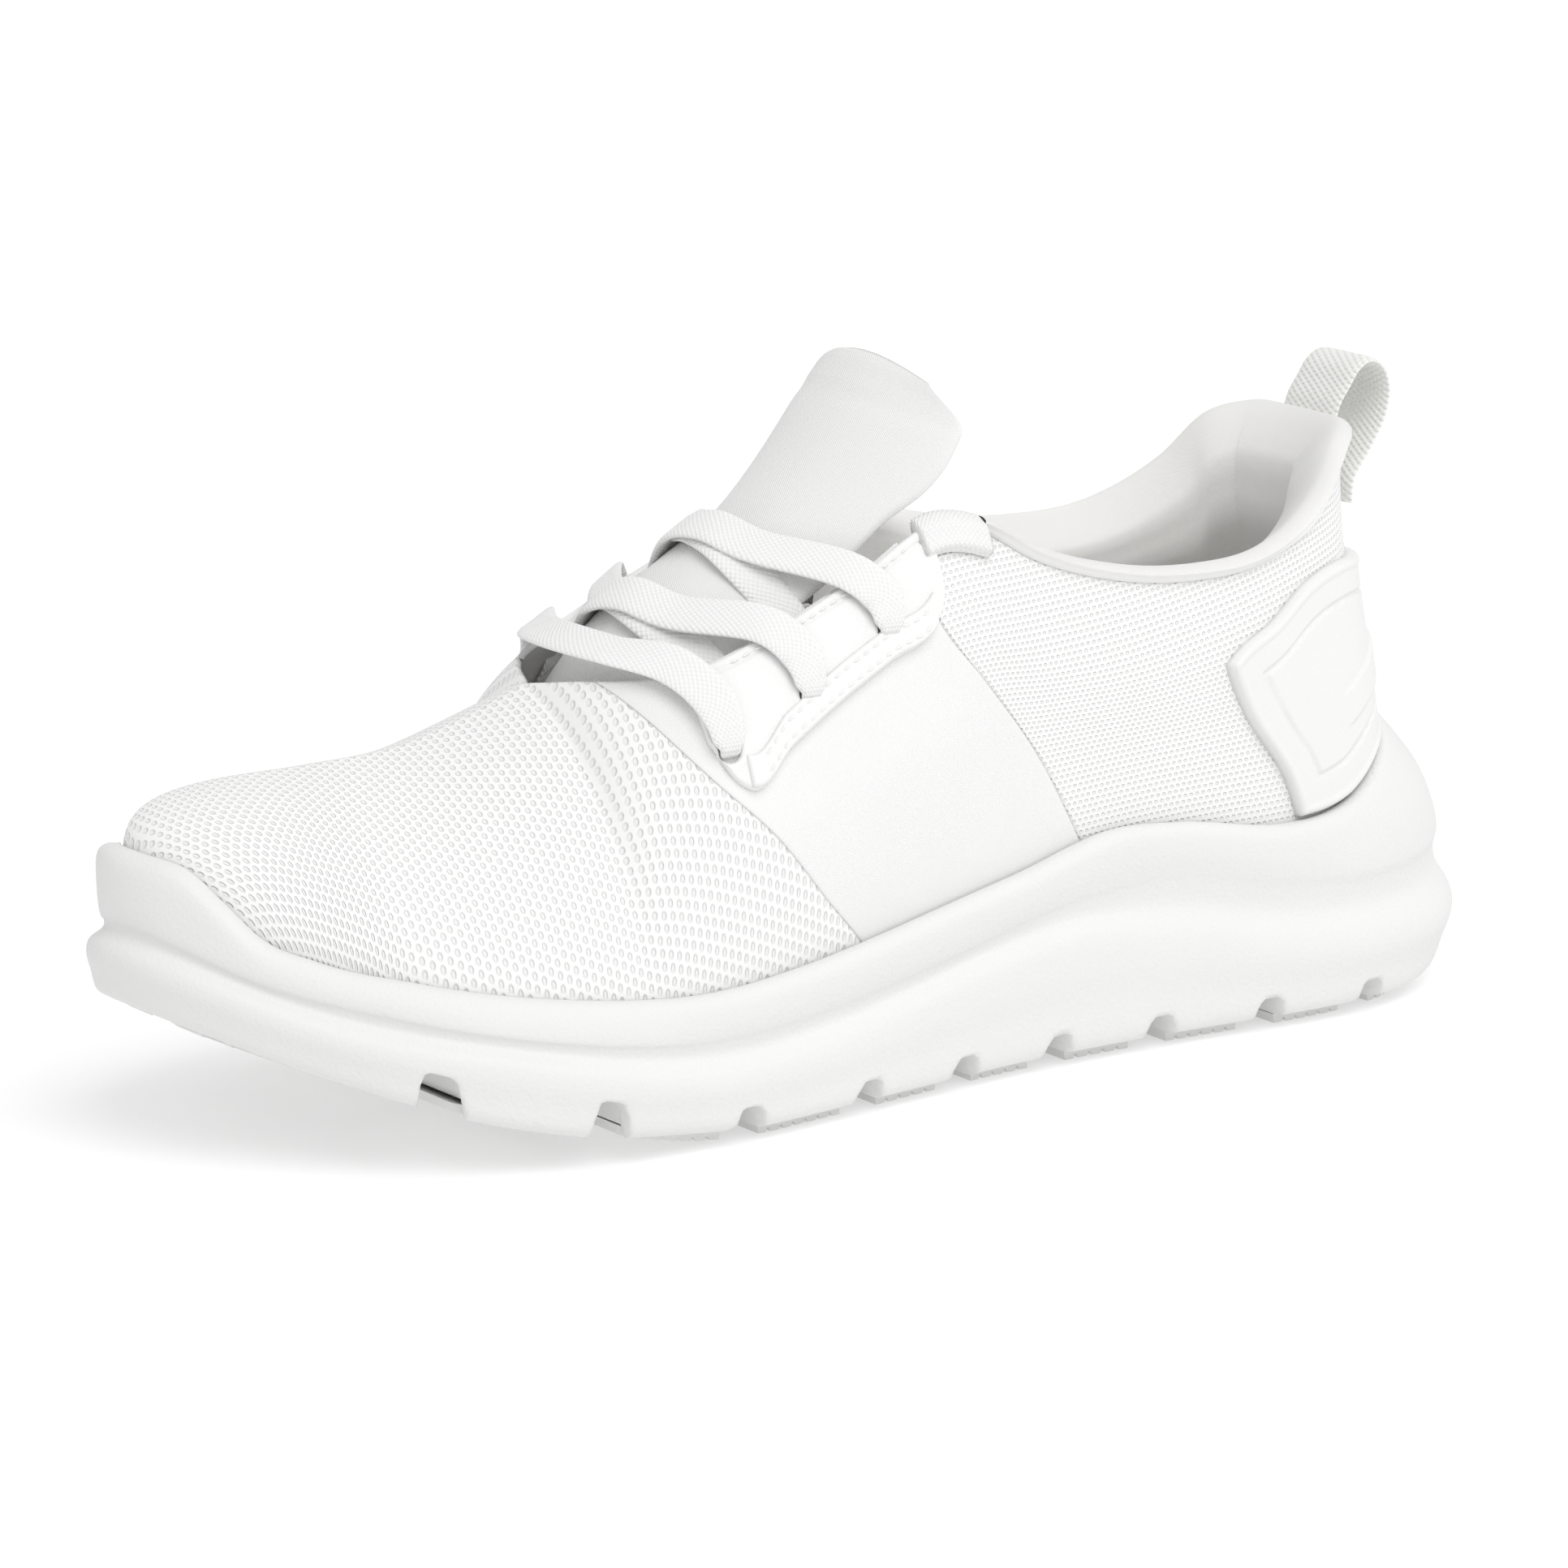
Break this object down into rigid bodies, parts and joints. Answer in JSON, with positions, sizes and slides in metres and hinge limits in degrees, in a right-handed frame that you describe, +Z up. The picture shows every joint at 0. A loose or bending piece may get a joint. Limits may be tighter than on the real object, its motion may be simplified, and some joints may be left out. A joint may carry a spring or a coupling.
{
  "type": "running shoe",
  "caption": "Left running shoe: knit and mesh upper laced over a separate padded tongue, moulded heel counter, heel pull loop and thick curved foam sole with split rubber tread.",
  "frame": {"origin": "centre of the shoe's bounding box on the ground under the sole", "axes": "+Z up, toe towards -Y, lateral (outer) side towards +X"},
  "size_m": [0.1082, 0.3, 0.1386],
  "materials": {
    "foam": "matte fine-textured moulded foam",
    "rubber": "matte ribbed rubber",
    "mesh": "open knitted mesh",
    "stretch": "smooth stretch fabric",
    "leather": "soft synthetic leather with stitching",
    "moulded": "satin moulded shell",
    "lining": "brushed lining cloth",
    "padding": "soft foam",
    "board": "stiff non-woven board",
    "webbing": "ribbed webbing",
    "lace": "flat woven lace"
  },
  "bodies": {
    "shoe": {"collar_band_lateral": "leather", "collar_band_medial": "leather", "collar_lining": "lining", "collar_padding": "padding", "eyestay_lateral": "leather", "eyestay_medial": "leather", "eyestay_trim_lateral": "leather", "eyestay_trim_medial": "leather", "heel_counter": "moulded", "heel_stiffener": "board", "lace": "lace", "midsole": "foam", "quarter_lateral": "mesh", "quarter_medial": "mesh", "saddle_lateral": "stretch", "saddle_medial": "stretch", "sockliner_cloth": "lining", "sockliner_foam": "padding", "strobel_board": "board", "toe_puff": "board", "tread_pad_10_lateral": "rubber", "tread_pad_10_medial": "rubber", "tread_pad_1_lateral": "rubber", "tread_pad_1_medial": "rubber", "tread_pad_2_lateral": "rubber", "tread_pad_2_medial": "rubber", "tread_pad_3_lateral": "rubber", "tread_pad_3_medial": "rubber", "tread_pad_4_lateral": "rubber", "tread_pad_4_medial": "rubber", "tread_pad_5_lateral": "rubber", "tread_pad_5_medial": "rubber", "tread_pad_6_lateral": "rubber", "tread_pad_6_medial": "rubber", "tread_pad_7_lateral": "rubber", "tread_pad_7_medial": "rubber", "tread_pad_8_lateral": "rubber", "tread_pad_8_medial": "rubber", "tread_pad_9_lateral": "rubber", "tread_pad_9_medial": "rubber", "vamp_lining": "lining", "vamp_mesh": "mesh"},
    "tongue": {"tongue": "stretch"},
    "pull_tab": {"pull_tab": "webbing"}
  },
  "joints": [
    {"name": "tongue_flex", "type": "hinge", "parent": "shoe", "child": "tongue", "pos_m": [0, -0.063, 0.072], "axis": [-1, 0, 0], "range_deg": [0, 3], "stiffness_Nm_per_rad": 0.6},
    {"name": "pull_tab_flex", "type": "hinge", "parent": "shoe", "child": "pull_tab", "pos_m": [0, 0.127, 0.098], "axis": [-1, 0, 0], "range_deg": [0, 20], "stiffness_Nm_per_rad": 0.02}
  ]
}
